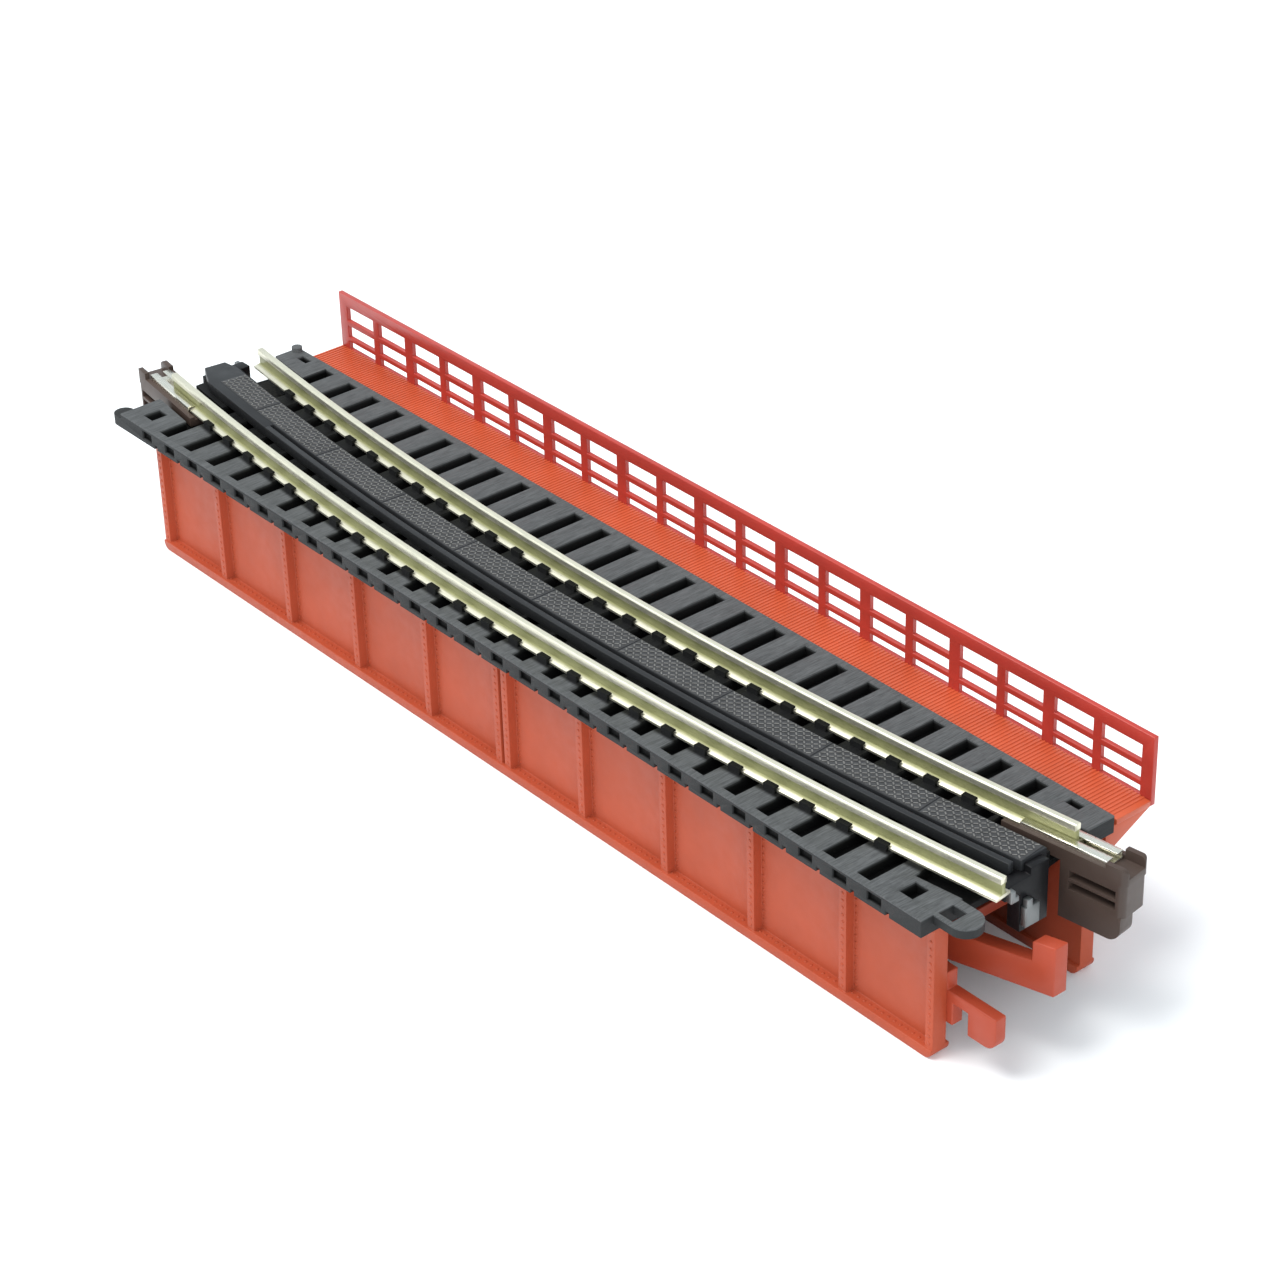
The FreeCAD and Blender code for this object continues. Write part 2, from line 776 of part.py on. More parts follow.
def all_parts():
    outer_radius = track_radius + rail_offset
    inner_radius = track_radius - rail_offset
    parts = {}
    parts["outer_girder"] = girder(girder_outer_y, 1)
    parts["inner_girder"] = girder(girder_inner_y, -1)
    parts["end_frame_right"] = end_frame()
    parts["end_frame_left"] = turned_half_way(parts["end_frame_right"])
    spacing = cross_frame_ribs * rib_pitch
    for name, x in (("left", -spacing), ("middle", 0.0), ("right", spacing)):
        parts["cross_frame_" + name] = cross_frame(x)
    parts["walkway_plate"] = walkway_plate()
    for number, x in enumerate(bracket_places(), 1):
        parts["walkway_bracket_%02d" % number] = walkway_bracket(x)
    parts["railing"] = railing()
    parts["tie_deck"] = tie_deck(outer_radius, inner_radius)
    parts["outer_rail"] = rail(outer_radius)
    parts["inner_rail"] = rail(inner_radius)
    parts["footplate"] = footplate()
    parts["guard_rail"] = guard_rail()
    parts["end_block_right"] = raised_end_block()
    parts["end_block_left"] = end_block(deck_left_x, -1)
    parts["contact_fingers_right"] = contact_fingers(deck_right_x, 1)
    parts["contact_fingers_left"] = contact_fingers(deck_left_x, -1)
    for name, radius, side in (("right", inner_radius, 1), ("left", outer_radius, -1)):
        parts["joiner_shell_" + name] = placed_at_rail_end(joiner_shell(), radius, side)
        parts["joiner_clip_" + name] = placed_at_rail_end(joiner_clip(), radius, side)
    return parts


def main():
    os.makedirs("parts", exist_ok=True)
    parts = all_parts()
    for name, shape in parts.items():
        shape.exportStep("parts/" + name + ".step")
        print(name, len(shape.Solids), "solids", round(shape.Volume, 3), "mm3", shape.isValid())
    extent = Part.makeCompound(list(parts.values())).optimalBoundingBox(False)
    print("from", round(extent.XMin, 3), round(extent.YMin, 3), round(extent.ZMin, 3))
    print("to", round(extent.XMax, 3), round(extent.YMax, 3), round(extent.ZMax, 3))


main()
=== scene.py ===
import math

import bpy
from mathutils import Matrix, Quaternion, Vector


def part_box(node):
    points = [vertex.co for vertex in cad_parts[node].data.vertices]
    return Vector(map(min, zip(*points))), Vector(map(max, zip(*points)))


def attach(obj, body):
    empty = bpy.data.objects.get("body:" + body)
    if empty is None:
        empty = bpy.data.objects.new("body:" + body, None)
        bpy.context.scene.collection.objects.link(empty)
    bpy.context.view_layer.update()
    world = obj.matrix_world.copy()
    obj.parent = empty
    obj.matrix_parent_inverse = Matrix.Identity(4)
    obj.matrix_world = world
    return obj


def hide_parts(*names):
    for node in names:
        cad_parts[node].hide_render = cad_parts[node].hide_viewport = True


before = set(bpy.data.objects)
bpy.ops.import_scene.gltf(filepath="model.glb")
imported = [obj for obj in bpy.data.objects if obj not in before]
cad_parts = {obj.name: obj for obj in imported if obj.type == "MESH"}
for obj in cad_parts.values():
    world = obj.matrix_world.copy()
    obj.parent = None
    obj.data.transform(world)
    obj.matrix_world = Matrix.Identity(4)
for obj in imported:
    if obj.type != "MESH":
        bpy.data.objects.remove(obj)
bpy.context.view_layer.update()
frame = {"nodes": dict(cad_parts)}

bl_info = {
    "name": "Curved deck bridge section",
    "version": (1, 0, 0),
    "blender": (4, 5, 0),
    "location": "3D View > Sidebar > Bridge",
    "description": "Finishes a curved deck girder bridge section for model trains",
    "category": "Object",
}

MM = 0.001

# ---- the curve, worked out from the outer rail, whose foot is square to the arc at both ends ----
HALF_ANGLE = math.radians(7.5)
FOOT_EDGE_TO_TRACK_MIDDLE = 5.76 * MM
TRACK_STRIP_HALF_WIDTH = 6.4 * MM
OUTER_RAIL_LOW, OUTER_RAIL_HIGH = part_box("outer_rail")
FOOT_EDGE_RADIUS = OUTER_RAIL_HIGH.x / math.sin(HALF_ANGLE)
CENTRE_Y = OUTER_RAIL_LOW.y + FOOT_EDGE_RADIUS
RAIL_TOP = OUTER_RAIL_HIGH.z
RAIL_FOOT = OUTER_RAIL_LOW.z
TRACK_RADIUS = FOOT_EDGE_RADIUS - FOOT_EDGE_TO_TRACK_MIDDLE

# ---- the deck, whose ends carry the end blocks ----
DECK_LOW, DECK_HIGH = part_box("tie_deck")
DECK_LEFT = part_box("end_block_left")[1].x
DECK_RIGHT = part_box("end_block_right")[0].x

# ---- the hollow between the girders' webs ----
GIRDER_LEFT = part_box("outer_girder")[0].x
GIRDER_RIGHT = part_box("outer_girder")[1].x
WEB_BACK_DEPTH = 1.7 * MM
OUTER_WEB_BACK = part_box("outer_girder")[0].y + WEB_BACK_DEPTH
INNER_WEB_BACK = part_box("inner_girder")[1].y - WEB_BACK_DEPTH
HOLLOW_FADE = 5 * MM
HOLLOW_SHADE = 0.35

# ---- the girders' surfaces, stiffeners and rivet lines, measured in from the outermost face ----
WEB_DEPTH = 1.1 * MM
RIB_DEPTH = 0.2 * MM
FLANGE_ROW_DEPTH = 0.62 * MM
BOTTOM_FLANGE_TOP = 0.95 * MM
TOP_ROW_BELOW_TOP = 0.5 * MM
COLUMN_INSET = 1.45 * MM
ROW_END_INSET = 0.5 * MM
COLUMN_END_MARGIN = 0.2 * MM
COLUMN_BESIDE_RIB = 0.7 * MM
RIB_PITCH_EXTRA = 0.13 * MM
MIDDLE_RIB_OFFSET = 0.65 * MM
END_RIB_INSET = 0.45 * MM

# ---- the chequer plates along the footplate ----
TREAD_WIDTH = 2.9 * MM
TREAD_OUTER_EDGE = 1.14 * MM
TREAD_SIDE_GAP = 0.12 * MM
TREAD_LEFT_START = 3.7 * MM
TREAD_RIGHT_INSET = 0.1 * MM
INNER_SEAMS = 9
MIDDLE_SEAM = 4.05


# ---- sizes and colours that a user would change ----

def length_setting(name, description, millimetres):
    return bpy.props.FloatProperty(name=name, description=description, default=millimetres * MM,
                                   subtype="DISTANCE", unit="LENGTH", precision=5)


def colour_setting(name, description, colour):
    return bpy.props.FloatVectorProperty(name=name, description=description, default=colour,
                                         subtype="COLOR", size=3, min=0, max=1)


class BridgeSizes(bpy.types.PropertyGroup):
    """Sizes of the surface detail."""
    edge_radius: length_setting("Edge radius", "Rounding of moulded edges", 0.06)
    metal_edge_radius: length_setting("Metal edge radius", "Rounding of metal edges", 0.03)
    rivet_radius: length_setting("Rivet radius", "Radius of a rivet head", 0.16)
    rivet_height: length_setting("Rivet height", "How far a rivet head stands out", 0.07)
    rivet_pitch: length_setting("Rivet pitch", "Distance between rivets in a row", 0.72)
    tread_pitch: length_setting("Tread pitch", "Distance between the footplate's studs", 0.46)
    tread_height: length_setting("Tread height", "How far the studs stand up", 0.06)
    plate_length: length_setting("Plate length", "Length of one chequer plate", 11.88)
    plate_gap: length_setting("Plate gap", "Gap between chequer plates", 0.14)
    ribbing_pitch: length_setting("Ribbing pitch", "Distance between the walkway's ridges", 0.42)
    ribbing_height: length_setting("Ribbing height", "Height of the walkway's ridges", 0.06)


class BridgeColours(bpy.types.PropertyGroup):
    """Colours of the mouldings and the metal."""
    girder: colour_setting("Girder", "Girder webs and flanges", (0.4, 0.068, 0.028))
    frame: colour_setting("Frames", "Frames between the girders", (0.38, 0.055, 0.024))
    # Painted light: the walkway's red is made lighter and more orange than the railing's for the
    # light falling on its floor.
    walkway: colour_setting("Walkway", "Walkway floor and brackets", (0.52, 0.088, 0.033))
    # Painted shade: the railing's red is made deeper than the walkway's for the shade on its
    # upright faces.
    railing: colour_setting("Railing", "Railing", (0.42, 0.036, 0.024))
    deck: colour_setting("Deck", "Ties and edge strips", (0.078, 0.081, 0.083))
    footplate: colour_setting("Footplate", "Footplate and guard rail", (0.022, 0.023, 0.025))
    tread: colour_setting("Tread", "Chequer plates", (0.045, 0.045, 0.047))
    # The chequer plates' raised studs are coloured lighter than their ground.
    studs: colour_setting("Studs", "Worn tops of the chequer plates", (0.15, 0.147, 0.14))
    rail: colour_setting("Rail", "Rail head and foot", (0.8, 0.77, 0.62))
    # Painted shade and reflection: the rail's web is coloured a duller olive for its shade and the
    # dark deck it mirrors.
    rail_web_shade: colour_setting("Rail side", "Sides of the rail's web", (0.3, 0.3, 0.14))
    joiner: colour_setting("Joiner", "Joiner bodies", (0.062, 0.042, 0.034))
    clip: colour_setting("Clip", "Joiner clips", (0.88, 0.86, 0.76))
    block: colour_setting("Block", "End blocks", (0.006, 0.006, 0.007))
    finger: colour_setting("Finger", "Contact fingers", (0.25, 0.26, 0.26))


# ---- materials ----

def start_material(name, colour, roughness, metallic=0.0, shine=0.5):
    """A material with one shader whose plain values are set on its own sockets."""
    material = bpy.data.materials.new(name)
    material.use_nodes = True
    shader = material.node_tree.nodes["Principled BSDF"]
    shader.inputs["Base Color"].default_value = (*colour, 1)
    shader.inputs["Roughness"].default_value = roughness
    shader.inputs["Metallic"].default_value = metallic
    shader.inputs["Specular IOR Level"].default_value = shine
    return material


def add_node(material, kind, **settings):
    node = material.node_tree.nodes.new(kind)
    for name, value in settings.items():
        setattr(node, name, value)
    return node


def link(material, output, socket):
    material.node_tree.links.new(output, socket)


def millimetre_coordinates(material, stretch=(1, 1, 1)):
    """The piece's own coordinates in millimetres, stretched along an axis where asked."""
    place = add_node(material, "ShaderNodeTexCoord")
    mapping = add_node(material, "ShaderNodeMapping")
    mapping.inputs["Scale"].default_value = [factor / MM for factor in stretch]
    link(material, place.outputs["Object"], mapping.inputs["Vector"])
    return mapping.outputs["Vector"]


def noise(material, coordinates, scale, detail=3.0, roughness=0.5):
    texture = add_node(material, "ShaderNodeTexNoise")
    texture.inputs["Scale"].default_value = scale
    texture.inputs["Detail"].default_value = detail
    texture.inputs["Roughness"].default_value = roughness
    link(material, coordinates, texture.inputs["Vector"])
    return texture.outputs["Fac"]


def ramp(material, factor, low, high, low_at=0.3, high_at=0.7):
    """Two colours that change over a stretch of the factor."""
    node = add_node(material, "ShaderNodeValToRGB")
    node.color_ramp.elements[0].position = low_at
    node.color_ramp.elements[0].color = (*low, 1)
    node.color_ramp.elements[1].position = high_at
    node.color_ramp.elements[1].color = (*high, 1)
    link(material, factor, node.inputs["Fac"])
    return node.outputs["Color"]


def shaded(colour, factor):
    return [min(channel * factor, 1.0) for channel in colour]


def spread(material, factor, low, high, socket):
    """Sends a factor to a socket, spread between two values."""
    node = add_node(material, "ShaderNodeMapRange")
    node.inputs["From Min"].default_value = 0.3
    node.inputs["From Max"].default_value = 0.7
    node.inputs["To Min"].default_value = low
    node.inputs["To Max"].default_value = high
    link(material, factor, node.inputs["Value"])
    link(material, node.outputs["Result"], socket)


def bump(material, height, strength, distance, below=None):
    """A bump from a height, on top of another bump where one is given."""
    node = add_node(material, "ShaderNodeBump")
    node.inputs["Strength"].default_value = strength
    node.inputs["Distance"].default_value = distance
    link(material, height, node.inputs["Height"])
    if below is not None:
        link(material, below, node.inputs["Normal"])
    return node.outputs["Normal"]


def mixed(material, factor, low, high):
    """One colour output faded into another by a factor."""
    mix = add_node(material, "ShaderNodeMix", data_type="RGBA", blend_type="MIX")
    link(material, factor, mix.inputs["Factor"])
    for value, socket in ((low, mix.inputs["A"]), (high, mix.inputs["B"])):
        if isinstance(value, bpy.types.NodeSocket):
            link(material, value, socket)
        else:
            socket.default_value = (*value, 1)
    return mix.outputs["Result"]


def calculated(material, operation, first, second, clamp=False):
    node = add_node(material, "ShaderNodeMath", operation=operation, use_clamp=clamp)
    for value, socket in ((first, node.inputs[0]), (second, node.inputs[1])):
        if isinstance(value, bpy.types.NodeSocket):
            link(material, value, socket)
        else:
            socket.default_value = value
    return node.outputs["Value"]


def step_up(material, value, level, width):
    """Rises from 0 to 1 as a value passes a level."""
    node = add_node(material, "ShaderNodeMapRange", interpolation_type="SMOOTHSTEP")
    node.inputs["From Min"].default_value = level - width / 2
    node.inputs["From Max"].default_value = level + width / 2
    link(material, value, node.inputs["Value"])
    return node.outputs["Result"]


def between(material, value, low, high, width):
    """Is 1 where a value lies between two levels, and 0 elsewhere."""
    above_low = step_up(material, value, low, width)
    above_high = step_up(material, value, high, width)
    return calculated(material, "SUBTRACT", above_low, above_high, True)


def object_parts(material):
    """The piece's own X, Y and Z coordinates in metres."""
    place = add_node(material, "ShaderNodeTexCoord")
    parts = add_node(material, "ShaderNodeSeparateXYZ")
    link(material, place.outputs["Object"], parts.inputs["Vector"])
    return parts.outputs


def hollow_mask(material):
    """Fades in to 1 inside the hollow between the webs, which is coloured darker for its shade."""
    parts = object_parts(material)
    across = between(material, parts["Y"], OUTER_WEB_BACK - 0.1 * MM, INNER_WEB_BACK + 0.1 * MM,
                     0.05 * MM)
    along = between(material, parts["X"], GIRDER_LEFT + HOLLOW_FADE, GIRDER_RIGHT - HOLLOW_FADE,
                    HOLLOW_FADE)
    return calculated(material, "MULTIPLY", across, along)


def moulded_plastic(name, colour, roughness=0.42, mottle=0.08, grain=0.35, sheen_spread=0.1,
                    shine=0.5, shade_inside=False):
    """Injection-moulded plastic: faint flow marks, fine grain and an uneven satin sheen."""
    material = start_material(name, colour, roughness, 0.0, shine)
    shader = material.node_tree.nodes["Principled BSDF"]
    place = millimetre_coordinates(material)
    flow = noise(material, place, 0.16, 4.0, 0.6)
    tint = ramp(material, flow, shaded(colour, 1 - mottle), shaded(colour, 1 + mottle))
    # Painted shade: where asked, the hollow between the girders' webs is coloured darker.
    if shade_inside:
        tint = mixed(material, hollow_mask(material), tint,
                     shaded(colour, HOLLOW_SHADE))
    link(material, tint, shader.inputs["Base Color"])
    smear = noise(material, place, 0.9, 3.0)
    spread(material, smear, roughness - sheen_spread / 2, roughness + sheen_spread / 2,
           shader.inputs["Roughness"])
    fine = noise(material, place, 14.0, 2.0)
    broad = noise(material, place, 1.1, 2.0)
    grain_normal = bump(material, fine, grain, 0.006 * MM)
    normal = bump(material, broad, 0.4, 0.02 * MM, grain_normal)
    link(material, normal, shader.inputs["Normal"])
    return material


def recess_mask(material, parts):
    """Is 1 inside the deck's gaps, holes and windows, below the tops of the ties."""
    below_top = between(material, parts["Z"], DECK_LOW.z - MM, RAIL_FOOT - 0.3 * MM, 0.3 * MM)
    across = between(material, parts["Y"], DECK_LOW.y + 0.2 * MM, DECK_HIGH.y - 0.2 * MM,
                     0.1 * MM)
    along = between(material, parts["X"], DECK_LEFT + 0.1 * MM, DECK_RIGHT - 0.1 * MM, 0.1 * MM)
    inside = calculated(material, "MULTIPLY", across, along)
    return calculated(material, "MULTIPLY", below_top, inside)


def track_mask(material, parts):
    """Is 1 on the strip of deck below the rails and between them."""
    from_centre = calculated(material, "SUBTRACT", parts["Y"], CENTRE_Y)
    square_y = calculated(material, "MULTIPLY", from_centre, from_centre)
    square_x = calculated(material, "MULTIPLY", parts["X"], parts["X"])
    total = calculated(material, "ADD", square_x, square_y)
    radius = calculated(material, "SQRT", total, 0.0)
    return between(material, radius, TRACK_RADIUS - TRACK_STRIP_HALF_WIDTH,
                   TRACK_RADIUS + TRACK_STRIP_HALF_WIDTH, 0.5 * MM)


def tie_plastic(name, colour):
    """Dark plastic with wood grain along the ties and rubbed high spots.

    The ties' sides below their tops, the recesses and the strip below the rails are coloured
    darker as painted shade.
    """
    material = start_material(name, colour, 0.5, 0.0, 0.12)
    shader = material.node_tree.nodes["Principled BSDF"]
    along_tie = millimetre_coordinates(material, (6.0, 0.35, 6.0))
    grain = noise(material, along_tie, 1.6, 5.0, 0.65)
    wood = ramp(material, grain, shaded(colour, 0.7), shaded(colour, 1.5), 0.35, 0.68)
    dust = noise(material, millimetre_coordinates(material), 2.4, 6.0, 0.7)
    rubbed = ramp(material, dust, (0, 0, 0), (0.35, 0.35, 0.35), 0.52, 0.8)
    rubbed_wood = mixed(material, rubbed, wood, (0.14, 0.145, 0.146))
    parts = object_parts(material)
    # Painted shade: below the ties' tops their sides are coloured darker.
    sides = step_up(material, parts["Z"], RAIL_FOOT - 0.14 * MM, 0.06 * MM)
    top = mixed(material, sides, shaded(colour, 0.35), rubbed_wood)
    # Painted shade: the strip below and between the rails is coloured near black, keeping the
    # grain.
    painted_shade_below_rails = ramp(material, grain, shaded(colour, 0.04), shaded(colour, 0.12))
    deck = mixed(material, track_mask(material, parts), top, painted_shade_below_rails)
    whole = mixed(material, recess_mask(material, parts), deck, shaded(colour, 0.03))
    link(material, whole, shader.inputs["Base Color"])
    spread(material, grain, 0.42, 0.62, shader.inputs["Roughness"])
    link(material, bump(material, grain, 0.5, 0.03 * MM), shader.inputs["Normal"])
    return material


def tread_plastic(name, colour, stud_colour, plate_top):
    """Dark plates whose raised studs are coloured lighter than the ground between them."""
    material = start_material(name, colour, 0.42, 0.0, 0.25)
    shader = material.node_tree.nodes["Principled BSDF"]
    place = millimetre_coordinates(material)
    wear = noise(material, place, 1.3, 5.0, 0.65)
    ground = ramp(material, wear, shaded(colour, 0.7), shaded(colour, 1.3))
    studs = ramp(material, wear, shaded(stud_colour, 0.75), shaded(stud_colour, 1.2))
    raised = step_up(material, object_parts(material)["Z"], plate_top, 0.03 * MM)
    link(material, mixed(material, raised, ground, studs), shader.inputs["Base Color"])
    spread(material, wear, 0.36, 0.5, shader.inputs["Roughness"])
    fine = noise(material, place, 9.0, 2.0)
    link(material, bump(material, fine, 0.25, 0.006 * MM), shader.inputs["Normal"])
    return material


def drawn_metal(name, colour, roughness=0.28, streak=(0.25, 6.0, 6.0)):
    """Drawn or rolled metal: fine streaks along the piece and a slightly uneven polish."""
    material = start_material(name, colour, roughness, 1.0)
    shader = material.node_tree.nodes["Principled BSDF"]
    lines = noise(material, millimetre_coordinates(material, streak), 4.0, 4.0, 0.6)
    tint = ramp(material, lines, shaded(colour, 0.88), shaded(colour, 1.06))
    link(material, tint, shader.inputs["Base Color"])
    spread(material, lines, roughness - 0.06, roughness + 0.1, shader.inputs["Roughness"])
    link(material, bump(material, lines, 0.25, 0.008 * MM), shader.inputs["Normal"])
    return material


def rail_metal(name, colour, web_shade_colour):
    """Nickel-silver rail: bright head and foot; the web between is coloured a duller olive as
    painted shade and a painted reflection of the dark deck.
    """
    material = start_material(name, colour, 0.3, 0.8)
    shader = material.node_tree.nodes["Principled BSDF"]
    height = object_parts(material)["Z"]
    lines = noise(material, millimetre_coordinates(material, (0.2, 5.0, 5.0)), 4.0, 4.0, 0.6)
    bright = ramp(material, lines, shaded(colour, 0.9), shaded(colour, 1.08))
    # Painted shade and reflection: the web's duller olive stands for its shade and the dark deck
    # it mirrors.
    painted_web_shade = ramp(material, lines, shaded(web_shade_colour, 0.8), shaded(web_shade_colour, 1.2))
    web = between(material, height, RAIL_FOOT + 0.34 * MM, RAIL_TOP - 0.6 * MM, 0.1 * MM)
    link(material, mixed(material, web, bright, painted_web_shade), shader.inputs["Base Color"])
    metal = calculated(material, "MULTIPLY", web, -0.55)
    link(material, calculated(material, "ADD", metal, 0.8), shader.inputs["Metallic"])
    spread(material, lines, 0.26, 0.42, shader.inputs["Roughness"])
    link(material, bump(material, lines, 0.2, 0.008 * MM), shader.inputs["Normal"])
    return material


def seamless_white(name):
    """Pale paper for the floor, with the faintest mottling."""
    material = start_material(name, (0.93, 0.945, 0.955), 0.85)
    shader = material.node_tree.nodes["Principled BSDF"]
    cloud = noise(material, millimetre_coordinates(material), 0.004, 2.0)
    tint = ramp(material, cloud, (0.925, 0.94, 0.952), (0.935, 0.95, 0.96))
    link(material, tint, shader.inputs["Base Color"])
    return material


# ---- modelling helpers ----

def clear_selection():
    bpy.ops.object.select_all(action="DESELECT")


def choose(piece):
    clear_selection()
    piece.select_set(True)
    bpy.context.view_layer.objects.active = piece


def apply_place(piece):
    """Puts a piece's place into its mesh."""
    choose(piece)
    bpy.ops.object.transform_apply(location=True, rotation=True, scale=True)


def apply_modifier(piece, kind, **settings):
    modifier = piece.modifiers.new(kind.title(), kind)
    for name, value in settings.items():
        setattr(modifier, name, value)
    choose(piece)
    bpy.ops.object.modifier_apply(modifier=modifier.name)


def repeated(piece, count, step):
    """A row of copies within the piece, one step apart."""
    apply_modifier(piece, "ARRAY", count=count, use_relative_offset=False,
                   use_constant_offset=True, constant_offset_displace=step)


def joined(pieces, name):
    clear_selection()
    for piece in pieces:
        piece.select_set(True)
    bpy.context.view_layer.objects.active = pieces[0]
    bpy.ops.object.join()
    whole = bpy.context.active_object
    whole.name = name
    whole.data.name = name
    return whole


def edit(piece, select_mode="FACE"):
    choose(piece)
    bpy.ops.object.mode_set(mode="EDIT")
    bpy.ops.mesh.select_mode(type=select_mode)


def leave_edit():
    bpy.ops.object.mode_set(mode="OBJECT")


def select_faces(piece, test):
    """Selects the faces whose middle and normal pass a test, in edit mode."""
    bpy.ops.mesh.select_all(action="DESELECT")
    bpy.ops.object.mode_set(mode="OBJECT")
    for polygon in piece.data.polygons:
        polygon.select = test(polygon.center, polygon.normal)
    bpy.ops.object.mode_set(mode="EDIT")


def block(low, high, name):
    """A block between two corners, with its place in its mesh."""
    clear_selection()
    middle = (Vector(low) + Vector(high)) / 2
    bpy.ops.mesh.primitive_cube_add(size=1, location=middle)
    piece = bpy.context.active_object
    piece.scale = Vector(high) - Vector(low)
    piece.name = name
    apply_place(piece)
    return piece


def finished(piece, body, material, smooth_angle=35):
    """Gives a piece its smooth shading, its material and its body."""
    choose(piece)
    bpy.ops.object.shade_smooth_by_angle(angle=math.radians(smooth_angle))
    piece.data.materials.clear()
    piece.data.materials.append(material)
    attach(piece, body)


def eased_copy(node, edge_radius, segments=2):
    """A copy of a CAD node with its loose triangles merged and its edges rounded."""
    piece = bpy.data.objects.new(node + "_finish", frame["nodes"][node].data.copy())
    bpy.context.scene.collection.objects.link(piece)
    edit(piece, "VERT")
    bpy.ops.mesh.select_all(action="SELECT")
    bpy.ops.mesh.remove_doubles(threshold=0.001 * MM)
    bpy.ops.mesh.dissolve_limited(angle_limit=math.radians(0.3))
    leave_edit()
    apply_modifier(piece, "BEVEL", width=edge_radius, segments=segments, limit_method="ANGLE",
                   angle_limit=math.radians(30), use_clamp_overlap=True)
    return piece


def eased_nodes(nodes, edge_radius, body, material, segments=2):
    """Stands an edge-rounded copy in for each CAD node."""
    for node in nodes:
        piece = eased_copy(node, edge_radius, segments)
        finished(piece, body, material)
        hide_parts(node)


def on_curve(radius, angle):
    """A place on a circle about the curve's centre, at an angle from the middle."""
    return radius * math.sin(angle), CENTRE_Y - radius * math.cos(angle)


def nodes_named(start):
    return sorted(name for name in frame["nodes"] if name.startswith(start))


# ---- girders ----

def rivet(sizes, tilt):
    """A low domed rivet head that stands on z = 0, tilted about X to face -Y or +Y."""
    clear_selection()
    bpy.ops.mesh.primitive_uv_sphere_add(segments=8, ring_count=6, radius=sizes.rivet_radius)
    piece = bpy.context.active_object
    piece.scale = (1, 1, sizes.rivet_height / sizes.rivet_radius)
    apply_place(piece)
    edit(piece)
    bpy.ops.mesh.select_all(action="SELECT")
    bpy.ops.mesh.bisect(plane_co=(0, 0, -0.01 * MM), plane_no=(0, 0, 1), clear_inner=True)
    leave_edit()
    piece.rotation_euler.x = tilt
    apply_place(piece)
    return piece


def rivet_row(sizes, tilt, place, count, step):
    piece = rivet(sizes, tilt)
    piece.location = place
    apply_place(piece)
    repeated(piece, count, step)
    return piece


def girder_rivets(node, facing, sizes):
    """Rivets on every stiffener, beside it, and along both flanges of one girder."""
    low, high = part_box(node)
    tilt = -facing * math.pi / 2
    face = low.y if facing < 0 else high.y
    web_face = face - facing * WEB_DEPTH
    rib_face = face - facing * RIB_DEPTH
    pitch = sizes.rivet_pitch
    bottom = low.z + COLUMN_INSET
    top = high.z - COLUMN_INSET
    column = int((top - bottom) / pitch) + 1
    rows = []
    for rib_x in rib_places(low.x, high.x):
        beside = rib_x + COLUMN_BESIDE_RIB
        if beside < high.x - COLUMN_END_MARGIN:
            rows.append(rivet_row(sizes, tilt, (beside, web_face, bottom), column,
                                  (0, 0, pitch)))
        rows.append(rivet_row(sizes, tilt, (rib_x, rib_face, bottom), column, (0, 0, pitch)))
    along = int((high.x - low.x - 2 * ROW_END_INSET) / pitch) + 1
    start = (low.x + high.x - (along - 1) * pitch) / 2
    top_row = (start, face, high.z - TOP_ROW_BELOW_TOP)
    rows.append(rivet_row(sizes, tilt, top_row, along, (pitch, 0, 0)))
    flange_row = (start, face - facing * FLANGE_ROW_DEPTH, low.z + BOTTOM_FLANGE_TOP)
    rows.append(rivet_row(sizes, 0.0, flange_row, along, (pitch, 0, 0)))
    return joined(rows, node + "_rivets")


def rib_places(left, right):
    """Middles of the stiffeners between a girder's two ends, as on the CAD girder."""
    half = (right - left) / 2
    pitch = half / 5 + RIB_PITCH_EXTRA
    places = [-MIDDLE_RIB_OFFSET, MIDDLE_RIB_OFFSET, -half + END_RIB_INSET, half - END_RIB_INSET]
    for index in range(1, 5):
        places += [-index * pitch, index * pitch]
    return sorted(places)


class BRIDGE_OT_girders(bpy.types.Operator):
    """Finish both plate girders and set their rivets"""
    bl_idname = "bridge.girders"
    bl_label = "Girders"

    def execute(self, context):
        sizes = context.scene.bridge_sizes
        red = moulded_plastic("girder red", context.scene.bridge_colours.girder,
                              roughness=0.45, shine=0.3, shade_inside=True)
        eased_nodes(["outer_girder", "inner_girder"], sizes.edge_radius, "bridge",
                    red)
        for node, facing in (("outer_girder", -1), ("inner_girder", 1)):
            rivets = girder_rivets(node, facing, sizes)
            finished(rivets, "bridge", red, 60)
        return {"FINISHED"}


class BRIDGE_OT_frames(bpy.types.Operator):
    """Finish the end frames and cross frames"""
    bl_idname = "bridge.frames"
    bl_label = "Frames"

    def execute(self, context):
        sizes = context.scene.bridge_sizes
        red = moulded_plastic("frame red", context.scene.bridge_colours.frame,
                              roughness=0.4, shine=0.3, shade_inside=True)
        nodes = nodes_named("end_frame") + nodes_named("cross_frame")
        eased_nodes(nodes, sizes.edge_radius * 2, "bridge", red, 3)
        return {"FINISHED"}


# ---- walkway ----

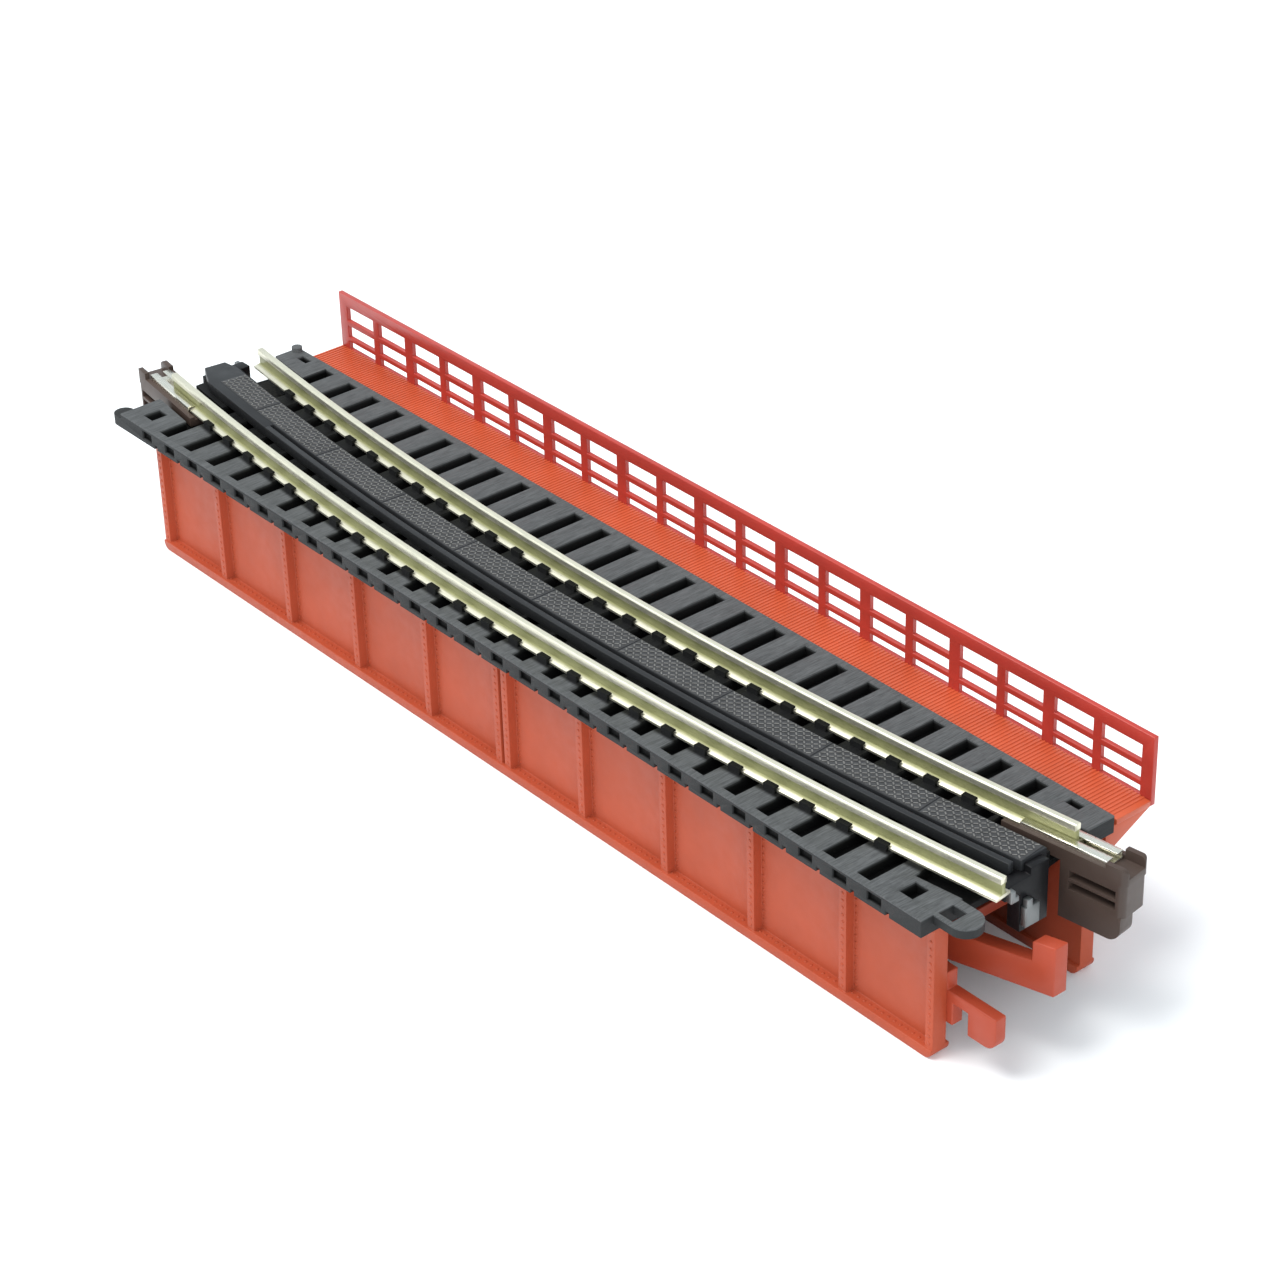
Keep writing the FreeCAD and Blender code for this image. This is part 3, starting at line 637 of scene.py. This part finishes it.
def walkway_ribbing(sizes):
    """Fine ridges across the walkway's floor, each with a rounded top."""
    low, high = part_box("walkway_plate")
    pitch = sizes.ribbing_pitch
    inset = 0.15 * MM
    start = low.x + inset
    ridge = block((start, low.y + inset, high.z - 0.02 * MM),
                  (start + pitch * 0.5, high.y - 0.02 * MM, high.z + sizes.ribbing_height),
                  "walkway_ribbing")
    edit(ridge)
    select_faces(ridge, lambda middle, normal: normal.z > 0.5)
    bpy.ops.mesh.inset(thickness=pitch * 0.12)
    bpy.ops.transform.translate(value=(0, 0, 0.01 * MM))
    leave_edit()
    count = int((high.x - low.x - 2 * inset) / pitch)
    repeated(ridge, count, (pitch, 0, 0))
    return ridge


class BRIDGE_OT_walkway(bpy.types.Operator):
    """Finish the walkway's floor, its ribbing and its brackets"""
    bl_idname = "bridge.walkway"
    bl_label = "Walkway"

    def execute(self, context):
        sizes = context.scene.bridge_sizes
        # Painted light: this red is lighter and more orange for the light on the walkway's floor.
        red = moulded_plastic("walkway red", context.scene.bridge_colours.walkway,
                              roughness=0.38)
        eased_nodes(["walkway_plate"], sizes.edge_radius, "bridge", red)
        eased_nodes(nodes_named("walkway_bracket"), sizes.edge_radius, "bridge",
                    red)
        finished(walkway_ribbing(sizes), "bridge", red)
        return {"FINISHED"}


class BRIDGE_OT_railing(bpy.types.Operator):
    """Finish the railing"""
    bl_idname = "bridge.railing"
    bl_label = "Railing"

    def execute(self, context):
        sizes = context.scene.bridge_sizes
        # Painted shade: this red is deeper for the shade on the railing's upright faces.
        red = moulded_plastic("railing red", context.scene.bridge_colours.railing,
                              roughness=0.34)
        eased_nodes(["railing"], sizes.edge_radius, "bridge", red)
        return {"FINISHED"}


# ---- deck and track ----

class BRIDGE_OT_deck(bpy.types.Operator):
    """Finish the tie deck"""
    bl_idname = "bridge.deck"
    bl_label = "Deck"

    def execute(self, context):
        sizes = context.scene.bridge_sizes
        black = tie_plastic("tie black", context.scene.bridge_colours.deck)
        eased_nodes(["tie_deck"], sizes.edge_radius * 0.7, "bridge", black, 1)
        return {"FINISHED"}


class BRIDGE_OT_rails(bpy.types.Operator):
    """Finish both rails"""
    bl_idname = "bridge.rails"
    bl_label = "Rails"

    def execute(self, context):
        sizes = context.scene.bridge_sizes
        colours = context.scene.bridge_colours
        metal = rail_metal("nickel silver rail", colours.rail, colours.rail_web_shade)
        eased_nodes(["outer_rail", "inner_rail"], sizes.metal_edge_radius, "bridge",
                    metal)
        return {"FINISHED"}


def tread_stud(sizes, turn):
    """One raised lozenge of the chequer plate, lying at an angle."""
    long_half = sizes.tread_pitch * 0.42
    narrow_half = sizes.tread_pitch * 0.13
    stud = block((-long_half, -narrow_half, -0.01 * MM),
                 (long_half, narrow_half, sizes.tread_height), "stud")
    edit(stud)
    select_faces(stud, lambda middle, normal: normal.z > 0.5)
    bpy.ops.mesh.inset(thickness=narrow_half * 0.45)
    leave_edit()
    stud.rotation_euler.z = turn
    apply_place(stud)
    return stud


def chequer_plate(sizes, length, width, name):
    """A thin plate about the origin with crossed rows of studs on top."""
    thickness = 0.05 * MM
    plate = block((-length / 2, -width / 2, -0.02 * MM), (length / 2, width / 2, thickness), name)
    apply_modifier(plate, "BEVEL", width=0.03 * MM, segments=2, limit_method="ANGLE")
    pitch = sizes.tread_pitch
    across = int(width / pitch)
    along = int(length / pitch)
    studs = []
    for row in range(across):
        for start, turn in ((0, math.radians(38)), (1, math.radians(-38))):
            first = (start + row) % 2
            stud = tread_stud(sizes, turn)
            stud.location = ((first - (along - 1) / 2) * pitch,
                             (row - (across - 1) / 2) * pitch, thickness)
            apply_place(stud)
            repeated(stud, (along - first + 1) // 2, (2 * pitch, 0, 0))
            studs.append(stud)
    return joined([plate] + studs, name)


def tread(sizes):
    """The row of chequer plates along the footplate, with a shorter one at each end."""
    low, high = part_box("footplate")
    outer = TRACK_RADIUS + TREAD_OUTER_EDGE
    radius = outer - TREAD_WIDTH / 2
    left = -math.asin(-low.x / outer) + TREAD_LEFT_START / radius
    right = math.asin(high.x / radius) - TREAD_RIGHT_INSET / radius
    step = sizes.plate_length / radius
    inner_seams = [(index - MIDDLE_SEAM) * step for index in range(INNER_SEAMS)]
    seams = [left] + inner_seams + [right]
    plates = []
    for start, end in zip(seams, seams[1:]):
        length = (end - start) * radius - sizes.plate_gap
        plate = chequer_plate(sizes, length, TREAD_WIDTH - TREAD_SIDE_GAP, "tread")
        middle = (start + end) / 2
        x, y = on_curve(radius, middle)
        plate.location = (x, y, high.z)
        plate.rotation_euler.z = middle
        apply_place(plate)
        plates.append(plate)
    return joined(plates, "footplate_tread")


class BRIDGE_OT_footplate(bpy.types.Operator):
    """Finish the footplate with its chequer plates, and the guard rail"""
    bl_idname = "bridge.footplate"
    bl_label = "Footplate"

    def execute(self, context):
        sizes = context.scene.bridge_sizes
        colours = context.scene.bridge_colours
        grey = moulded_plastic("footplate grey", colours.footplate, roughness=0.4,
                               mottle=0.15, grain=0.3, shine=0.2)
        eased_nodes(["footplate", "guard_rail"], sizes.edge_radius, "bridge", grey)
        plate_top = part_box("footplate")[1].z + 0.07 * MM
        chequer_material = tread_plastic("chequer plate", colours.tread, colours.studs, plate_top)
        finished(tread(sizes), "bridge", chequer_material)
        return {"FINISHED"}


class BRIDGE_OT_ends(bpy.types.Operator):
    """Finish the end blocks and their contact fingers"""
    bl_idname = "bridge.ends"
    bl_label = "End blocks"

    def execute(self, context):
        sizes = context.scene.bridge_sizes
        colours = context.scene.bridge_colours
        black = moulded_plastic("block black", colours.block, roughness=0.4, mottle=0.1,
                                grain=0.3, shine=0.2)
        metal = drawn_metal("finger metal", colours.finger, roughness=0.45,
                            streak=(4.0, 4.0, 0.3))
        eased_nodes(nodes_named("end_block"), sizes.edge_radius, "bridge", black)
        eased_nodes(nodes_named("contact_fingers"), sizes.edge_radius, "bridge",
                    metal)
        return {"FINISHED"}


# ---- joiners ----

class BRIDGE_OT_joiners(bpy.types.Operator):
    """Finish the rail joiners: plastic shells and metal clips"""
    bl_idname = "bridge.joiners"
    bl_label = "Joiners"

    def execute(self, context):
        sizes = context.scene.bridge_sizes
        colours = context.scene.bridge_colours
        brown = moulded_plastic("joiner brown", colours.joiner, roughness=0.4,
                                mottle=0.1, grain=0.12, sheen_spread=0.05, shine=0.3)
        metal = drawn_metal("clip metal", colours.clip, roughness=0.22)
        for end in ("right", "left"):
            eased_nodes(["joiner_shell_" + end], sizes.edge_radius * 2, "joiner_" + end,
                        brown, 3)
            eased_nodes(["joiner_clip_" + end], sizes.metal_edge_radius, "joiner_" + end,
                        metal)
        return {"FINISHED"}


# ---- stage ----

def paper_sweep(material):
    """A floor that curves up into a backdrop behind the bridge."""
    clear_selection()
    bpy.ops.mesh.primitive_plane_add(size=3.0, location=(0, 0, 0))
    floor = bpy.context.active_object
    floor.name = "floor"
    edit(floor, "EDGE")
    bpy.ops.mesh.select_all(action="DESELECT")
    leave_edit()
    for line in floor.data.edges:
        ends = [floor.data.vertices[index].co for index in line.vertices]
        line.select = all(end.y > 1.4 for end in ends)
    bpy.ops.object.mode_set(mode="EDIT")
    bpy.ops.mesh.extrude_region_move(TRANSFORM_OT_translate={"value": (0, 0, 1.6)})
    leave_edit()
    apply_modifier(floor, "BEVEL", width=0.6, segments=12, limit_method="ANGLE")
    choose(floor)
    bpy.ops.object.shade_smooth_by_angle(angle=math.radians(40))
    floor.data.materials.append(material)


def soft_light(name, place, target, size, power, colour=(1, 1, 1)):
    data = bpy.data.lights.new(name, "AREA")
    data.shape = "DISK"
    data.size = size
    data.energy = power
    data.color = colour
    lamp = bpy.data.objects.new(name, data)
    bpy.context.scene.collection.objects.link(lamp)
    lamp.location = place
    lamp.rotation_euler = (Vector(target) - Vector(place)).to_track_quat("-Z", "Y").to_euler()


def studio_world(colour, strength):
    world = bpy.data.worlds.new("studio")
    world.use_nodes = True
    background = world.node_tree.nodes["Background"]
    background.inputs["Color"].default_value = (*colour, 1)
    background.inputs["Strength"].default_value = strength
    bpy.context.scene.world = world


def stage_camera():
    """A long lens looking down the bridge from its right end, tilted a little."""
    place = Vector((212.68, -164.81, 174.21)) * MM
    azimuth = math.radians(51.076)
    elevation = math.radians(31.374)
    roll = math.radians(-1.727)
    looks = Vector((-math.sin(azimuth) * math.cos(elevation),
                    math.cos(azimuth) * math.cos(elevation), -math.sin(elevation)))
    turn = looks.to_track_quat("-Z", "Y") @ Quaternion((0, 0, 1), roll)
    data = bpy.data.cameras.new("camera")
    data.sensor_width = 36
    data.lens = 96.70
    data.clip_start = 0.01
    data.clip_end = 20
    camera = bpy.data.objects.new("camera", data)
    bpy.context.scene.collection.objects.link(camera)
    camera.location = place
    camera.rotation_euler = turn.to_euler()
    bpy.context.scene.camera = camera


class BRIDGE_OT_stage(bpy.types.Operator):
    """Set out the floor, the soft lights and the camera"""
    bl_idname = "bridge.stage"
    bl_label = "Stage"

    def execute(self, context):
        paper_sweep(seamless_white("seamless paper"))
        centre = (0, 0, 0.01)
        soft_light("key light", (-0.2, -0.3, 0.78), centre, size=0.55, power=6.8,
                   colour=(1.0, 0.985, 0.965))
        soft_light("fill light", (0.6, -0.35, 0.35), centre, size=0.5, power=1.6)
        studio_world(colour=(0.87, 0.95, 1.0), strength=0.84)
        context.scene.view_settings.view_transform = "Standard"
        stage_camera()
        return {"FINISHED"}


# ---- add-on ----

class BRIDGE_PT_panel(bpy.types.Panel):
    """Lists the bridge's pieces in the sidebar"""
    bl_idname = "BRIDGE_PT_panel"
    bl_label = "Deck bridge section"
    bl_space_type = "VIEW_3D"
    bl_region_type = "UI"
    bl_category = "Bridge"

    def draw(self, context):
        for operator in OPERATORS:
            self.layout.operator(operator.bl_idname)
        for group in (context.scene.bridge_sizes, context.scene.bridge_colours):
            for name in group.__annotations__:
                self.layout.prop(group, name)


OPERATORS = (
    BRIDGE_OT_stage,
    BRIDGE_OT_girders,
    BRIDGE_OT_frames,
    BRIDGE_OT_walkway,
    BRIDGE_OT_railing,
    BRIDGE_OT_deck,
    BRIDGE_OT_rails,
    BRIDGE_OT_footplate,
    BRIDGE_OT_ends,
    BRIDGE_OT_joiners,
)
CLASSES = (BridgeSizes, BridgeColours) + OPERATORS + (BRIDGE_PT_panel,)


def register():
    for kind in CLASSES:
        bpy.utils.register_class(kind)
    bpy.types.Scene.bridge_sizes = bpy.props.PointerProperty(type=BridgeSizes)
    bpy.types.Scene.bridge_colours = bpy.props.PointerProperty(type=BridgeColours)


def unregister():
    del bpy.types.Scene.bridge_colours
    del bpy.types.Scene.bridge_sizes
    for kind in reversed(CLASSES):
        bpy.utils.unregister_class(kind)


def main():
    register()
    bpy.ops.bridge.stage()
    bpy.ops.bridge.girders()
    bpy.ops.bridge.frames()
    bpy.ops.bridge.walkway()
    bpy.ops.bridge.railing()
    bpy.ops.bridge.deck()
    bpy.ops.bridge.rails()
    bpy.ops.bridge.footplate()
    bpy.ops.bridge.ends()
    bpy.ops.bridge.joiners()
    clear_selection()


if __name__ == "__main__":
    main()
